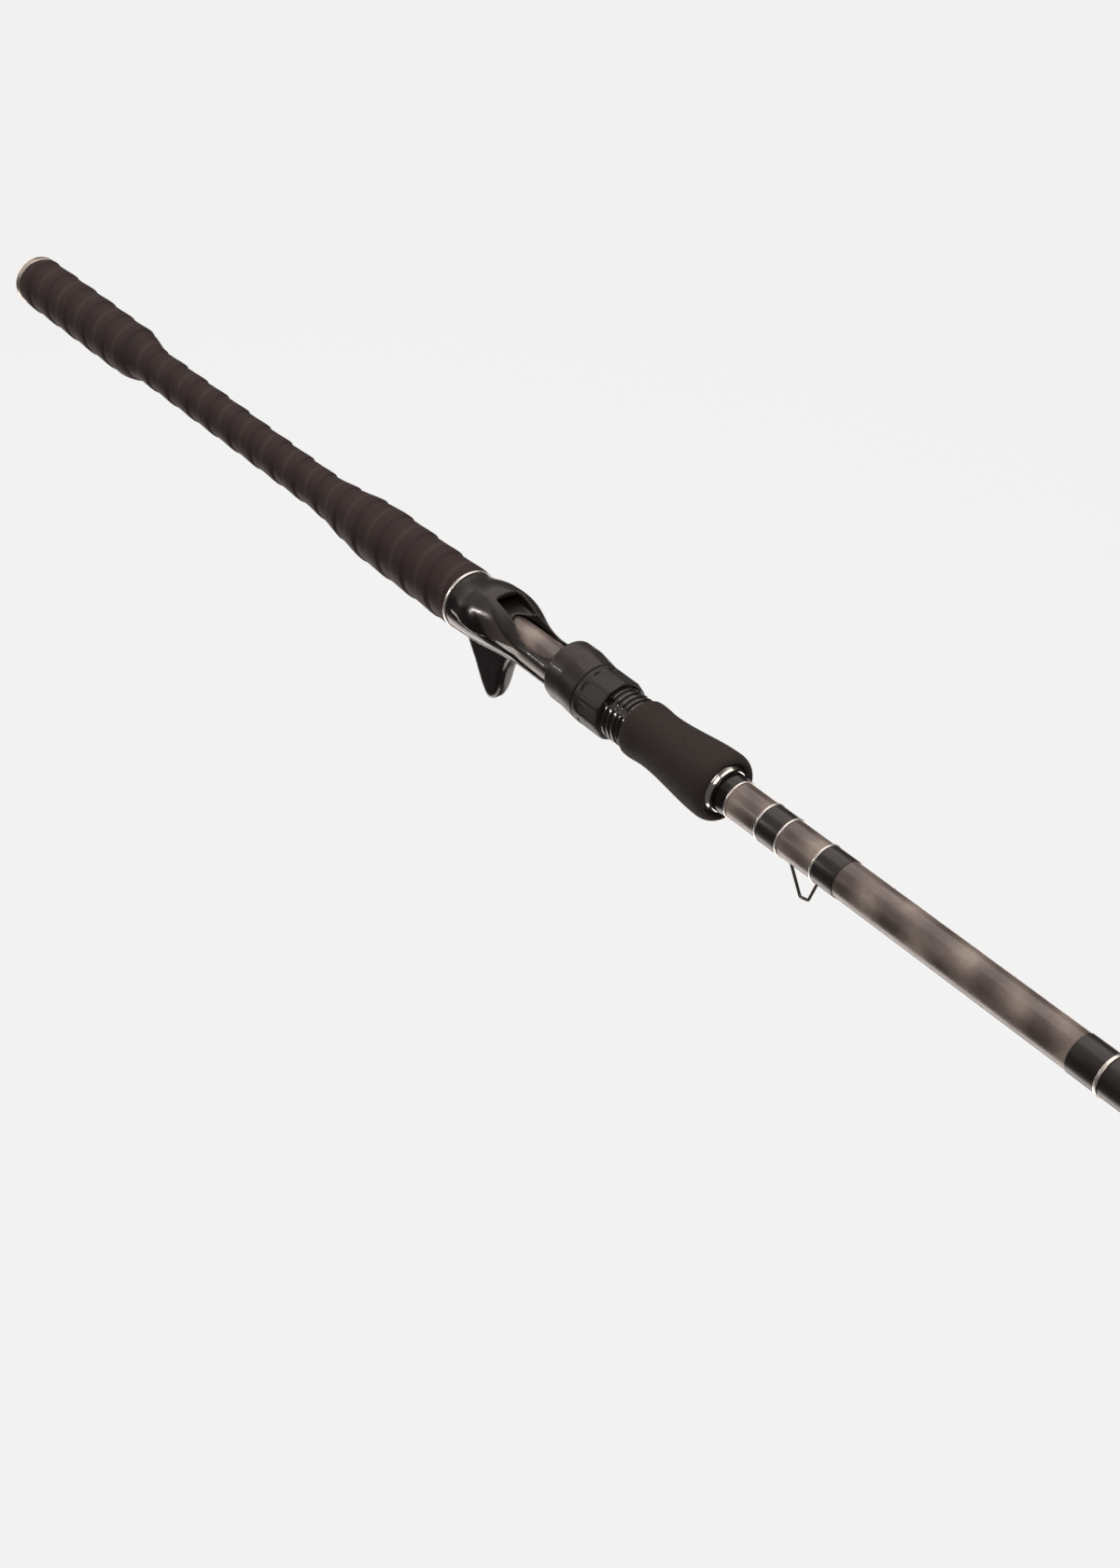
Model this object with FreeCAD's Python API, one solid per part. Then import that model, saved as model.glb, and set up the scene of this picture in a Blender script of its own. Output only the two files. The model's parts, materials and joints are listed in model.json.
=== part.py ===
"""Two-piece trigger-grip casting rod. +X runs from butt to tip, +Z is the reel side, origin at the butt."""
import FreeCAD, Part
import math
import os

V = FreeCAD.Vector
X_AXIS = V(1, 0, 0)

# ---- driving dimensions, millimetres -------------------------------------------------
FIT = 0.05             # radial clearance of a sliding fit
GAP = 0.3              # air between parts that pass each other

BLANK_R = 8.2          # handle blank, outside
BLANK_WALL = 1.2
TIP_R = 1.3            # tip of the rod, outside
TIP_WALL = 0.6
HANDLE_END = 763.0     # mouth of the ferrule
ROD_LENGTH = 2133.0

CAP_LENGTH = 6.8
CAP_WALL = 3.0
CAP_ROUND = 4.5
SEAL_LENGTH = 0.8
SEAL_SUNK = 0.3

SWELL_WALL = 4.75      # rear grip: thickness over the blank, and lengths
SWELL_END = 101.5
SWELL_TAPER = 18.5
NECK_WALL = 1.2
SHOULDER_TAPER = 55.0
SHOULDER_WALL = 5.95
SHOULDER_LENGTH = 60.8
GRIP_END = 382.8
GRIP_SKIN = 0.6

CHECK_LENGTH = 1.5     # ring between rear grip and reel seat
CHECK_PROUD = 0.15

SEAT_LENGTH = 117.0    # reel seat
SEAT_STEP = 0.35       # rear face below the grip
SEAT_BED = 0.7         # arbor between seat and blank
SEAT_WALL = 1.1
SEAT_WAIST = 44.0      # where the body reaches its thinnest
HOOD_WALL = 2.4        # fixed hood over its liner
HOOD_CROWN = 18.5      # crown, behind the seat's rear face
HOOD_LIP = 24.5        # mouth of the pocket
HOOD_LEAN = 2.5        # how far the mouth leans back
HOOD_FRONT = 54.0      # where its cheeks run out
DECK_RISE = 1.3        # flat that the reel foot rests on, over the blank
FOOT_WIDTH = 12.6      # pocket width
FOOT_HEIGHT = 4.3      # pocket height at its mouth
POCKET_DEPTH = 9.0
LINER = 0.6
LINER_WIDTH = 9.6
WINDOW_START = 32.0    # oval over the exposed stretch of blank
WINDOW_UNDER = 2.5     # how far it reaches under the movable hood
WINDOW_WIDTH = 16.6
WINDOW_Z = 4.6
ARBOR_CLEAR = 6.0      # rear arbor to window
TRIGGER_DEPTH = 36.8   # tip of the trigger below the rod's axis
TRIGGER_WIDTH = 10.4
TRIGGER_TAPER = 1.7    # taken off each side by the tip
TRIGGER_ROUND = 2.4

THREAD_WALL = 1.8      # seat barrel under its thread
THREAD_HEIGHT = 1.1
THREAD_PITCH = 3.0
THREAD_CREST_W = 0.9
THREAD_ROOT_W = 2.0
THREAD_SINK = 0.1      # foot of the ridge inside the barrel
THREAD_PLAIN = 2.0     # plain barrel at each end of the thread
BARREL_LENGTH = 42.0
KEYWAY_W = 2.6
KEYWAY_ANGLE = 45.0
KEYWAY_SUNK = 0.4
KEYWAY_REACH = 13.0    # start of a groove, behind the barrel
KEY_PLAY = 0.25

HOOD_STANDOFF = 47.5   # rear of the movable hood to the front of the seat
MOVING_LENGTH = 18.2
MOVING_WALL = 1.65
MOVING_ROOF = 1.45     # over its liner
MOVING_FLARE = 0.2     # rear rim larger than the front one
MOVING_POCKET = 7.5
MOVING_SLOPE = 6.5     # how far the lower rim sits ahead of the upper one
NUT_LENGTH = 16.2      # lock nut
NUT_FLATS = 10
NUT_FLAT_SUNK = 0.55
NUT_FLAT_START = 2.5
NUT_FLAT_HALF = 3.1
NUT_ROUND = 1.5
COLLAR_LENGTH = 3.4    # hood's collar inside the nut
COLLAR_WALL = 0.6
COLLAR_LIP = 0.3
COLLAR_PLAY = 0.12
THREAD_PLAY = 0.2      # flank clearance of the nut's thread

FORE_GRIP_GAP = 0.7
FORE_GRIP_LENGTH = 54.0
FORE_GRIP_REAR_WALL = 4.8
FORE_GRIP_WAIST = 12.2
FORE_GRIP_WAIST_WALL = 4.2
FORE_GRIP_CROWN_WALL = 7.1
FORE_GRIP_ROUND = 5.0
CUP_DEPTH = 3.4        # recess in its front end
CUP_WALL = 3.3         # recess, outside the blank
CUP_FLARE = 1.2

FLANGE_LENGTH = 4.0    # bright tapered check in that recess
SLEEVE_LENGTH = 7.0    # ahead of the fore grip
SLEEVE_WALL = 0.9
SLEEVE_LIP = 0.5

TRIM_STEPS = (0.6, 18.7, 30.7, 50.8)   # ahead of the sleeve
TRIM_LENGTH = 1.1
TRIM_T = 0.55
WRAP_T = 0.3
KEEPER_WRAP = 12.2
KEEPER_WIRE_R = 0.65
KEEPER_REACH = 13.4    # below the blank
KEEPER_FOOT = 9.0
KEEPER_BEND = 1.3

FERRULE_WRAP = 14.0
FERRULE_RING = 1.6
FERRULE_RING_T = 0.75
SPIGOT_IN = 70.0       # each way from the joint
SPIGOT_WALL = 1.6
JOINT_GAP = 0.4
TIP_WRAP = 36.0

# places along the tip section, as shares of its length
GUIDE_SHARES = (0.10339, 0.26767, 0.41370, 0.54366, 0.65829, 0.75832, 0.84594, 0.92626)
GUIDE_BORES = (8.0, 6.2, 5.0, 4.2, 3.9, 3.6, 3.4, 3.4)
GUIDE_RISE = (12.5, 9.5, 7.5, 6.5, 5.5, 5.0, 4.6, 4.4)
RING_T = 1.0           # ceramic ring, radial
RING_W = 2.0
RING_ROUND = 0.4
FRAME_T = 0.9          # metal round it
FRAME_W = 1.5
LEG_R = 0.8
LEG_SPREAD = 0.7       # rear legs' feet, off the middle
FOOT_T = 0.7
FOOT_L = 11.0
FOOT_W = 3.2
TIP_BORE = 3.4
TIP_TUBE = 13.0
TIP_TUBE_WALL = 0.5
TIP_PROUD = 0.8        # tube beyond the end of the blank

# ---- sizes and places that follow from them ------------------------------------------
SWELL_R = BLANK_R + SWELL_WALL
NECK_R = BLANK_R + NECK_WALL
SHOULDER_R = BLANK_R + SHOULDER_WALL
NECK_START = SWELL_END + SWELL_TAPER
SHOULDER_START = GRIP_END - SHOULDER_LENGTH
NECK_END = SHOULDER_START - SHOULDER_TAPER
CHECK_R = SHOULDER_R + CHECK_PROUD

SEAT_START = GRIP_END + CHECK_LENGTH
SEAT_END = SEAT_START + SEAT_LENGTH
SEAT_REAR_R = SHOULDER_R - SEAT_STEP
SEAT_BORE_R = BLANK_R + SEAT_BED
SEAT_BODY_R = SEAT_BORE_R + SEAT_WALL
DECK_Z = BLANK_R + DECK_RISE
POCKET_TOP = DECK_Z + FOOT_HEIGHT
HOOD_R = POCKET_TOP + LINER + HOOD_WALL
BARREL_START = SEAT_END - BARREL_LENGTH
THREAD_CORE_R = SEAT_BORE_R + THREAD_WALL
THREAD_CREST_R = THREAD_CORE_R + THREAD_HEIGHT
THREAD_START = BARREL_START + THREAD_PLAIN

MOVING_REAR = SEAT_END - HOOD_STANDOFF
MOVING_END = MOVING_REAR + MOVING_LENGTH
MOVING_BORE_R = THREAD_CREST_R + GAP
MOVING_R = MOVING_BORE_R + MOVING_WALL
MOVING_REAR_R = MOVING_R + MOVING_FLARE
MOVING_RAISED = POCKET_TOP + LINER + MOVING_ROOF - MOVING_REAR_R   # centre of its rear rim
WINDOW_END = MOVING_REAR + WINDOW_UNDER
COLLAR_R = MOVING_BORE_R + COLLAR_WALL
NUT_R = MOVING_R
NUT_START = MOVING_END + GAP
NUT_END = NUT_START + NUT_LENGTH

FORE_GRIP_START = SEAT_END + FORE_GRIP_GAP
FORE_GRIP_END = FORE_GRIP_START + FORE_GRIP_LENGTH
FLANGE_START = FORE_GRIP_END - CUP_DEPTH
FLANGE_END = FLANGE_START + FLANGE_LENGTH
CUP_R = BLANK_R + CUP_WALL
SLEEVE_R = BLANK_R + SLEEVE_WALL
SLEEVE_END = FORE_GRIP_END + SLEEVE_LENGTH
TRIM_PLACES = [SLEEVE_END + step for step in TRIM_STEPS]
KEEPER_LIE = -BLANK_R - KEEPER_WIRE_R   # axis of its feet along the blank

TIP_START = HANDLE_END + JOINT_GAP
GUIDE_PLACES = [TIP_START + share * (ROD_LENGTH - TIP_START) for share in GUIDE_SHARES]


# ---- helpers -------------------------------------------------------------------------
def line(a, b):
    """Straight edge between two (x, radius) points, drawn in the XZ plane."""
    return Part.LineSegment(V(a[0], 0, a[1]), V(b[0], 0, b[1])).toShape()


def ease(a, b, pull=0.45):
    """Smooth edge that leaves a and reaches b parallel to the axis."""
    reach = pull * (b[0] - a[0])
    curve = Part.BezierCurve()
    curve.setPoles([V(a[0], 0, a[1]), V(a[0] + reach, 0, a[1]), V(b[0] - reach, 0, b[1]), V(b[0], 0, b[1])])
    return curve.toShape()


def round_corner(a, corner, b):
    """Edge from a to b that rounds off the corner between them."""
    curve = Part.BezierCurve()
    curve.setPoles([V(a[0], 0, a[1]), V(corner[0], 0, corner[1]), V(b[0], 0, b[1])])
    return curve.toShape()


def path(points):
    return [line(a, b) for a, b in zip(points, points[1:])]


def turned(outline, bore_start, bore_end=None):
    """Solid of revolution about X: an outline from rear to front, closed by a straight bore."""
    bore_end = bore_start if bore_end is None else bore_end
    first = outline[0].valueAt(outline[0].FirstParameter)
    last = outline[-1].valueAt(outline[-1].LastParameter)
    edges = list(outline)
    edges += path([(last.x, last.z), (last.x, bore_end), (first.x, bore_start), (first.x, first.z)])
    return Part.Face(Part.Wire(edges)).revolve(V(0, 0, 0), X_AXIS, 360)


def tube(start, end, outer, bore):
    return turned(path([(start, outer), (end, outer)]), bore)


def rod(start, end, radius, y=0.0, z=0.0):
    return Part.makeCylinder(radius, end - start, V(start, y, z), X_AXIS)


def block(x0, x1, y0, y1, z0, z1):
    return Part.makeBox(x1 - x0, y1 - y0, z1 - z0, V(x0, y0, z0))


def side_profile(points, width):
    """Plate whose outline lies in the XZ plane, centred on Y."""
    corners = [V(x, -width / 2, z) for x, z in points]
    return Part.Face(Part.makePolygon(corners + corners[:1])).extrude(V(0, width, 0))


def stick(a, b, radius):
    """Round bar between two points."""
    return Part.makeCylinder(radius, a.distanceToPoint(b), a, b.sub(a))


def wire_form(points, radius, bend):
    """Round wire along straight runs with rounded bends."""
    edges = []
    start = points[0]
    for here, after in zip(points[1:], points[2:]):
        back = start.sub(here).normalize()
        ahead = V(after.sub(here)).normalize()
        half = math.acos(max(-1.0, min(1.0, back.dot(ahead)))) / 2
        reach = bend / math.tan(half)
        arc_in = here.add(V(back).multiply(reach))
        arc_out = here.add(V(ahead).multiply(reach))
        middle = V(back.add(ahead)).normalize().multiply(bend / math.sin(half) - bend)
        edges.append(Part.LineSegment(start, arc_in).toShape())
        edges.append(Part.Arc(arc_in, here.add(middle), arc_out).toShape())
        start = arc_out
    edges.append(Part.LineSegment(start, points[-1]).toShape())
    spine = Part.Wire(edges)
    ring = Part.Wire(Part.Circle(points[0], points[1].sub(points[0]), radius).toShape())
    return spine.makePipeShell([ring], True, False)


def thread_ridge(start, end, foot_r, foot_w, crest_r, crest_w):
    """Helical ridge of trapezium section about X; its crest may lie inside or outside its foot."""
    helix = Part.makeHelix(THREAD_PITCH, end - start, foot_r)
    corners = [V(foot_r, 0, -foot_w / 2), V(crest_r, 0, -crest_w / 2),
               V(crest_r, 0, crest_w / 2), V(foot_r, 0, foot_w / 2)]
    section = Part.makePolygon(corners + corners[:1])
    ridge = Part.Wire(helix).makePipeShell([section], True, True)
    ridge.rotate(V(0, 0, 0), V(0, 1, 0), 90)
    ridge.translate(V(start, 0, 0))
    return ridge


def tip_r(x):
    """Outside radius of the tapering tip blank."""
    share = (x - TIP_START) / (ROD_LENGTH - TIP_START)
    return BLANK_R + (TIP_R - BLANK_R) * share


def tip_band(start, end, thickness):
    """Thin tapered band round the tip blank."""
    ends = [(start, tip_r(start) + thickness), (end, tip_r(end) + thickness)]
    return turned(path(ends), tip_r(start), tip_r(end))


nodes = {}


# ---- butt cap and rear grip ----------------------------------------------------------
def grip_outline(inset):
    """Rear grip from seal to reel seat in its three stretches."""
    start = CAP_LENGTH + SEAL_LENGTH
    swell = SWELL_R - inset
    neck = NECK_R - inset
    shoulder = SHOULDER_R - inset
    rear = [line((start, swell), (SWELL_END, swell)), ease((SWELL_END, swell), (NECK_START, neck))]
    middle = [line((NECK_START, neck), (NECK_END, neck))]
    front = [ease((NECK_END, neck), (SHOULDER_START, shoulder)),
             line((SHOULDER_START, shoulder), (GRIP_END, shoulder))]
    return rear, middle, front


def make_rear_grip():
    cap = turned([round_corner((0, SWELL_R - CAP_ROUND), (0, SWELL_R), (CAP_ROUND, SWELL_R)),
                  line((CAP_ROUND, SWELL_R), (CAP_LENGTH, SWELL_R))], 0)
    nodes["butt_cap"] = cap.cut(rod(CAP_WALL, CAP_LENGTH, BLANK_R))
    nodes["butt_cap_seal"] = tube(CAP_LENGTH, CAP_LENGTH + SEAL_LENGTH, SWELL_R - SEAL_SUNK, BLANK_R)
    rear, middle, front = grip_outline(GRIP_SKIN)
    nodes["rear_grip_butt"] = turned(rear, BLANK_R)
    nodes["rear_grip_waist"] = turned(middle, BLANK_R)
    nodes["rear_grip_shoulder"] = turned(front, BLANK_R)
    outside = turned(sum(grip_outline(0), []), BLANK_R)
    inside = turned(rear + middle + front, BLANK_R)
    nodes["rear_grip_wrap"] = outside.cut(inside)
    nodes["rear_winding_ring"] = tube(GRIP_END, SEAT_START, CHECK_R, BLANK_R)


# ---- reel seat -----------------------------------------------------------------------
def trigger():
    """Finger trigger: a flat hook that leans forward and narrows to its tip, rounded along its edge."""
    x = SEAT_START
    depth = TRIGGER_DEPTH
    half = TRIGGER_WIDTH / 2
    side = [(x + 2, -6), (x + 5, -14.5), (x + 9.5, -20.8), (x + 14.5, -28.5), (x + 19, -depth + 2.2),
            (x + 22.5, -depth), (x + 26, -depth + 1.5), (x + 29, -depth + 6.5), (x + 30.5, -24),
            (x + 32.2, -16), (x + 36, -10), (x + 42, -6)]
    curve = Part.BSplineCurve()
    curve.interpolate([V(px, 0, pz) for px, pz in side])
    face = Part.Face(Part.Wire([curve.toShape(), line(side[-1], side[0])]))
    face.translate(V(0, -half, 0))
    plate = face.extrude(V(0, TRIGGER_WIDTH, 0))
    levels = []
    for z, w in ((-5, half), (-depth - 1, half - TRIGGER_TAPER)):
        corners = [V(x - 10, -w, z), V(x + 60, -w, z), V(x + 60, w, z), V(x - 10, w, z)]
        levels.append(Part.makePolygon(corners + corners[:1]))
    hook = plate.common(Part.makeLoft(levels, True, True))
    rim = [e for e in hook.Edges if e.Length > 40 and abs(e.CenterOfMass.y) > 1]
    return hook.makeFillet(TRIGGER_ROUND, rim)


def seat_shell():
    x = SEAT_START
    waist = x + SEAT_WAIST
    ramp = BARREL_START - 1.5
    body = turned([ease((x, SEAT_REAR_R), (waist, SEAT_BODY_R))]
                  + path([(waist, SEAT_BODY_R), (ramp, SEAT_BODY_R), (BARREL_START, THREAD_CORE_R),
                          (SEAT_END, THREAD_CORE_R)]), SEAT_BORE_R)
    crown = turned([ease((x, SEAT_REAR_R), (x + HOOD_CROWN, HOOD_R)),
                    ease((x + HOOD_CROWN, HOOD_R), (x + HOOD_FRONT, SEAT_BODY_R))], SEAT_BORE_R)
    above = side_profile([(x - 1, 1.5), (x + HOOD_CROWN, 0), (x + HOOD_FRONT + 2, 2.5),
                          (x + HOOD_FRONT + 2, 25), (x - 1, 25)], 50)
    return body.fuse([crown.common(above), trigger()])


def keyways():
    """Two grooves along the threaded barrel that keep the movable hood from turning."""
    grooves = []
    for side in (-1, 1):
        groove = block(BARREL_START - KEYWAY_REACH, SEAT_END + 1, -KEYWAY_W / 2, KEYWAY_W / 2,
                       THREAD_CORE_R - KEYWAY_SUNK, THREAD_CREST_R + 2)
        groove.rotate(V(0, 0, 0), X_AXIS, side * KEYWAY_ANGLE)
        grooves.append(groove)
    return grooves


def window():
    """Oval opening over the blank, seen from the reel side."""
    half = (WINDOW_END - SEAT_START - WINDOW_START) / 2
    oval = Part.Ellipse(V(WINDOW_END - half, 0, WINDOW_Z), half, WINDOW_WIDTH / 2).toShape()
    return Part.Face(Part.Wire(oval)).extrude(V(0, 0, 30))


def make_seat():
    x = SEAT_START
    half = FOOT_WIDTH / 2
    pocket_rear = x + HOOD_LIP - POCKET_DEPTH
    bed = block(pocket_rear, MOVING_REAR + POCKET_DEPTH + 3, -half, half, DECK_Z, POCKET_TOP)
    liner = block(pocket_rear, x + HOOD_LIP - 1.5, -LINER_WIDTH / 2, LINER_WIDTH / 2,
                  POCKET_TOP, POCKET_TOP + LINER)
    high = 2 * HOOD_R
    mouth = [(x + HOOD_LIP, POCKET_TOP), (x + HOOD_LIP - HOOD_LEAN, high), (BARREL_START + 9, high),
             (BARREL_START + 9, DECK_Z), (x + HOOD_LIP, DECK_Z)]
    ridge = thread_ridge(THREAD_START, SEAT_END - THREAD_PLAIN, THREAD_CORE_R - THREAD_SINK,
                         THREAD_ROOT_W, THREAD_CREST_R, THREAD_CREST_W)
    seat = seat_shell().fuse(ridge)
    for cutter in [rod(x - 1, SEAT_END + 1, SEAT_BORE_R), bed, liner, side_profile(mouth, FOOT_WIDTH),
                   window()] + keyways():
        seat = seat.cut(cutter)
    # cutting the ridge leaves slivers of no volume beside the one real solid
    nodes["reel_seat"] = max(seat.Solids, key=lambda solid: solid.Volume)
    nodes["fixed_hood_liner"] = liner
    nodes["seat_arbor_rear"] = tube(x, x + WINDOW_START - ARBOR_CLEAR, SEAT_BORE_R, BLANK_R)
    nodes["seat_arbor_front"] = tube(WINDOW_END + 2, SEAT_END, SEAT_BORE_R, BLANK_R)


# ---- movable hood and lock nut -------------------------------------------------------
def make_hood():
    x = MOVING_REAR
    half = FOOT_WIDTH / 2
    bore = MOVING_BORE_R
    pocket_end = x + MOVING_POCKET
    rims = [Part.Wire(Part.Circle(V(px, 0, pz), X_AXIS, radius).toShape())
            for px, pz, radius in ((x, MOVING_RAISED, MOVING_REAR_R),
                                   (pocket_end + 1, MOVING_RAISED, MOVING_REAR_R), (MOVING_END, 0, MOVING_R))]
    shell = Part.makeLoft(rims, True, True)
    rear_edge = [e for e in shell.Edges if e.BoundBox.XMax < x + 0.1]
    shell = shell.makeFillet(0.5, rear_edge)
    lip = MOVING_END + COLLAR_LENGTH
    barb = COLLAR_R + COLLAR_LIP
    collar = turned(path([(MOVING_END - 0.5, COLLAR_R), (lip - 1.2, COLLAR_R), (lip - 0.9, barb),
                          (lip - 0.3, barb), (lip, COLLAR_R - 0.1)]), bore)
    liner = block(x + 1, pocket_end, -LINER_WIDTH / 2, LINER_WIDTH / 2, POCKET_TOP, POCKET_TOP + LINER)
    below = side_profile([(x - 1, -2), (x, -2), (x + MOVING_SLOPE, -20), (x - 1, -20)], 60)
    hood = shell.fuse(collar)
    for cutter in (rod(x - 1, lip + 1, bore), block(x - 1, pocket_end, -half, half, 0, POCKET_TOP),
                   liner, block(x - 1, x + 2, -LINER_WIDTH / 2, LINER_WIDTH / 2, 0, POCKET_TOP), below):
        hood = hood.cut(cutter)
    for side in (-1, 1):
        key = block(pocket_end + 1, MOVING_END, KEY_PLAY - KEYWAY_W / 2, KEYWAY_W / 2 - KEY_PLAY,
                    THREAD_CORE_R - KEYWAY_SUNK + KEY_PLAY, COLLAR_R)
        key.rotate(V(0, 0, 0), X_AXIS, side * KEYWAY_ANGLE)
        hood = hood.fuse(key)
    nodes["movable_hood"] = hood
    nodes["movable_hood_liner"] = liner


def make_nut():
    x = NUT_START
    bore = MOVING_BORE_R
    flank = (THREAD_ROOT_W - THREAD_CREST_W) / 2 / (THREAD_HEIGHT + THREAD_SINK)

    def groove_half(radius):
        return THREAD_PITCH / 2 - THREAD_CREST_W / 2 - (THREAD_CREST_R - radius) * flank

    front = (NUT_END - NUT_ROUND, NUT_R)
    shell = turned(path([(x, NUT_R - 0.3), (x + 0.3, NUT_R), front])
                   + [round_corner(front, (NUT_END, NUT_R), (NUT_END, NUT_R - 1.1))], bore)
    for i in range(NUT_FLATS):
        flat = block(x + NUT_FLAT_START, NUT_END + 1, -NUT_FLAT_HALF, NUT_FLAT_HALF,
                     NUT_R - NUT_FLAT_SUNK, NUT_R + 3)
        ends = [e for e in flat.Edges if abs(e.tangentAt(e.FirstParameter).z) > 0.9
                and e.CenterOfMass.x < x + NUT_FLAT_START + 0.5]
        flat = flat.makeFillet(NUT_FLAT_HALF - 0.5, ends)
        flat.rotate(V(0, 0, 0), X_AXIS, (i + 0.5) * 360 / NUT_FLATS)
        shell = shell.cut(flat)
    catch_end = x + COLLAR_LENGTH
    shell = shell.cut(rod(x - 1, catch_end, COLLAR_R + COLLAR_PLAY))
    shell = shell.cut(rod(catch_end - 1.5 - GAP, catch_end, COLLAR_R + COLLAR_LIP + COLLAR_PLAY))
    inner_r = THREAD_CORE_R + 0.25
    outer_r = bore + 0.15
    # the nut's ridge winds half a turn behind the barrel's, so that it runs in the groove
    groove = THREAD_START + THREAD_PITCH / 2
    start = groove + math.ceil((catch_end + 1.2 - groove) / THREAD_PITCH) * THREAD_PITCH
    turns = math.floor((NUT_END - 1.2 - start) / THREAD_PITCH)
    ridge = thread_ridge(start, start + turns * THREAD_PITCH,
                         outer_r, 2 * (groove_half(outer_r) - THREAD_PLAY),
                         inner_r, 2 * (groove_half(inner_r) - THREAD_PLAY))
    nodes["lock_nut"] = shell.fuse(ridge)


# ---- fore grip and the trim ahead of it ----------------------------------------------
def make_fore_grip():
    x = FORE_GRIP_START
    end = FORE_GRIP_END
    shoulder = (x + 3, BLANK_R + FORE_GRIP_REAR_WALL)
    waist = (x + FORE_GRIP_WAIST, BLANK_R + FORE_GRIP_WAIST_WALL)
    crown = (end - FORE_GRIP_ROUND, BLANK_R + FORE_GRIP_CROWN_WALL)
    outline = [round_corner((x, shoulder[1] - 1.2), (x, shoulder[1]), shoulder), ease(shoulder, waist),
               ease(waist, crown), round_corner(crown, (end, crown[1]), (end, CUP_R + CUP_FLARE))]
    cup = turned([line((FLANGE_START, CUP_R), (end + 0.1, CUP_R + CUP_FLARE + 0.1))], BLANK_R - 1)
    nodes["fore_grip"] = turned(outline, BLANK_R).cut(cup)
    rim = CUP_R - 0.1
    flange = [line((FLANGE_START, rim), (FLANGE_START + 1, rim)),
              ease((FLANGE_START + 1, rim), (FLANGE_END, SLEEVE_R + 0.4))]
    nodes["fore_check_flange"] = turned(flange, BLANK_R)
    sleeve = [line((FLANGE_END, SLEEVE_R), (FLANGE_END + 2, SLEEVE_R)),
              ease((FLANGE_END + 2, SLEEVE_R), (SLEEVE_END, BLANK_R + SLEEVE_LIP))]
    nodes["fore_check_sleeve"] = turned(sleeve, BLANK_R)


def make_keeper():
    rear = TRIM_PLACES[2] + TRIM_LENGTH / 2 + 1.0
    front = TRIM_PLACES[3] - TRIM_LENGTH / 2 - 1.0
    low = -BLANK_R - KEEPER_REACH
    apex = rear + 0.62 * (front - rear)
    route = [V(rear - KEEPER_FOOT, 0, KEEPER_LIE), V(rear, 0, KEEPER_LIE), V(apex - 1.5, 0, low),
             V(apex + 3.0, 0, low + 1), V(front, 0, KEEPER_LIE), V(front + KEEPER_FOOT, 0, KEEPER_LIE)]
    nodes["hook_keeper"] = wire_form(route, KEEPER_WIRE_R, KEEPER_BEND)


def saddled(band, start, end, thickness):
    """Adds the hump over the keeper's foot to a band, and the room for the foot and the blank."""
    hump = rod(start, end, KEEPER_WIRE_R + thickness, 0, KEEPER_LIE)
    slot = block(start - 1, end + 1, -KEEPER_WIRE_R, KEEPER_WIRE_R, KEEPER_LIE, 0)
    return band.fuse(hump).cut(rod(start - 1, end + 1, BLANK_R)).cut(slot)


def make_trim():
    half = TRIM_LENGTH / 2
    top = BLANK_R + TRIM_T
    for i, place in enumerate(TRIM_PLACES):
        start, end = place - half, place + half
        band = tube(start, end, top, BLANK_R)
        if i >= 2:
            foot_way = rod(start - 1, end + 1, KEEPER_WIRE_R + 0.01, 0, KEEPER_LIE)
            band = saddled(band, start, end, TRIM_T).cut(foot_way)
        nodes["trim_ring_%d" % (i + 1)] = band
    spans = {"keeper_wrap_rear": (TRIM_PLACES[1] + half, TRIM_PLACES[2] - half),
             "keeper_wrap_front": (TRIM_PLACES[3] + half, TRIM_PLACES[3] + KEEPER_WRAP)}
    for name, (start, end) in spans.items():
        wrap = tube(start, end, BLANK_R + WRAP_T, BLANK_R)
        nodes[name] = saddled(wrap, start, end, WRAP_T).cut(nodes["hook_keeper"])


# ---- blanks and ferrule --------------------------------------------------------------
def make_blanks():
    bore = BLANK_R - BLANK_WALL
    nodes["handle_blank"] = tube(CAP_WALL, HANDLE_END, BLANK_R, bore)
    ring_start = HANDLE_END - FERRULE_RING
    nodes["ferrule_wrap"] = tube(ring_start - FERRULE_WRAP, ring_start, BLANK_R + WRAP_T, BLANK_R)
    nodes["ferrule_ring"] = tube(ring_start, HANDLE_END, BLANK_R + FERRULE_RING_T, BLANK_R)
    spigot_r = bore - FIT
    socket_end = TIP_START + SPIGOT_IN
    nodes["ferrule_spigot"] = tube(HANDLE_END - SPIGOT_IN, socket_end, spigot_r, spigot_r - SPIGOT_WALL)
    blank = turned(path([(TIP_START, tip_r(TIP_START)), (ROD_LENGTH, TIP_R)]), 0)
    hollow = turned(path([(socket_end, spigot_r - 0.8), (ROD_LENGTH - 4, TIP_R - TIP_WALL)]), 0)
    nodes["tip_blank"] = blank.cut(rod(TIP_START - 1, socket_end, spigot_r)).cut(hollow)
    nodes["tip_ferrule_wrap"] = tip_band(TIP_START, TIP_START + TIP_WRAP, WRAP_T)


# ---- guides --------------------------------------------------------------------------
def ceramic_ring(x, z, bore):
    """Line ring with rounded edges and a straight land inside."""
    ring = Part.makeCylinder(bore + RING_T, RING_W, V(x - RING_W / 2, 0, z), X_AXIS)
    ring = ring.cut(Part.makeCylinder(bore, RING_W, V(x - RING_W / 2, 0, z), X_AXIS))
    inner = [e for e in ring.Edges if e.Closed and abs(e.Curve.Radius - bore) < 0.01]
    return ring.makeFillet(RING_ROUND, inner)


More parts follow.
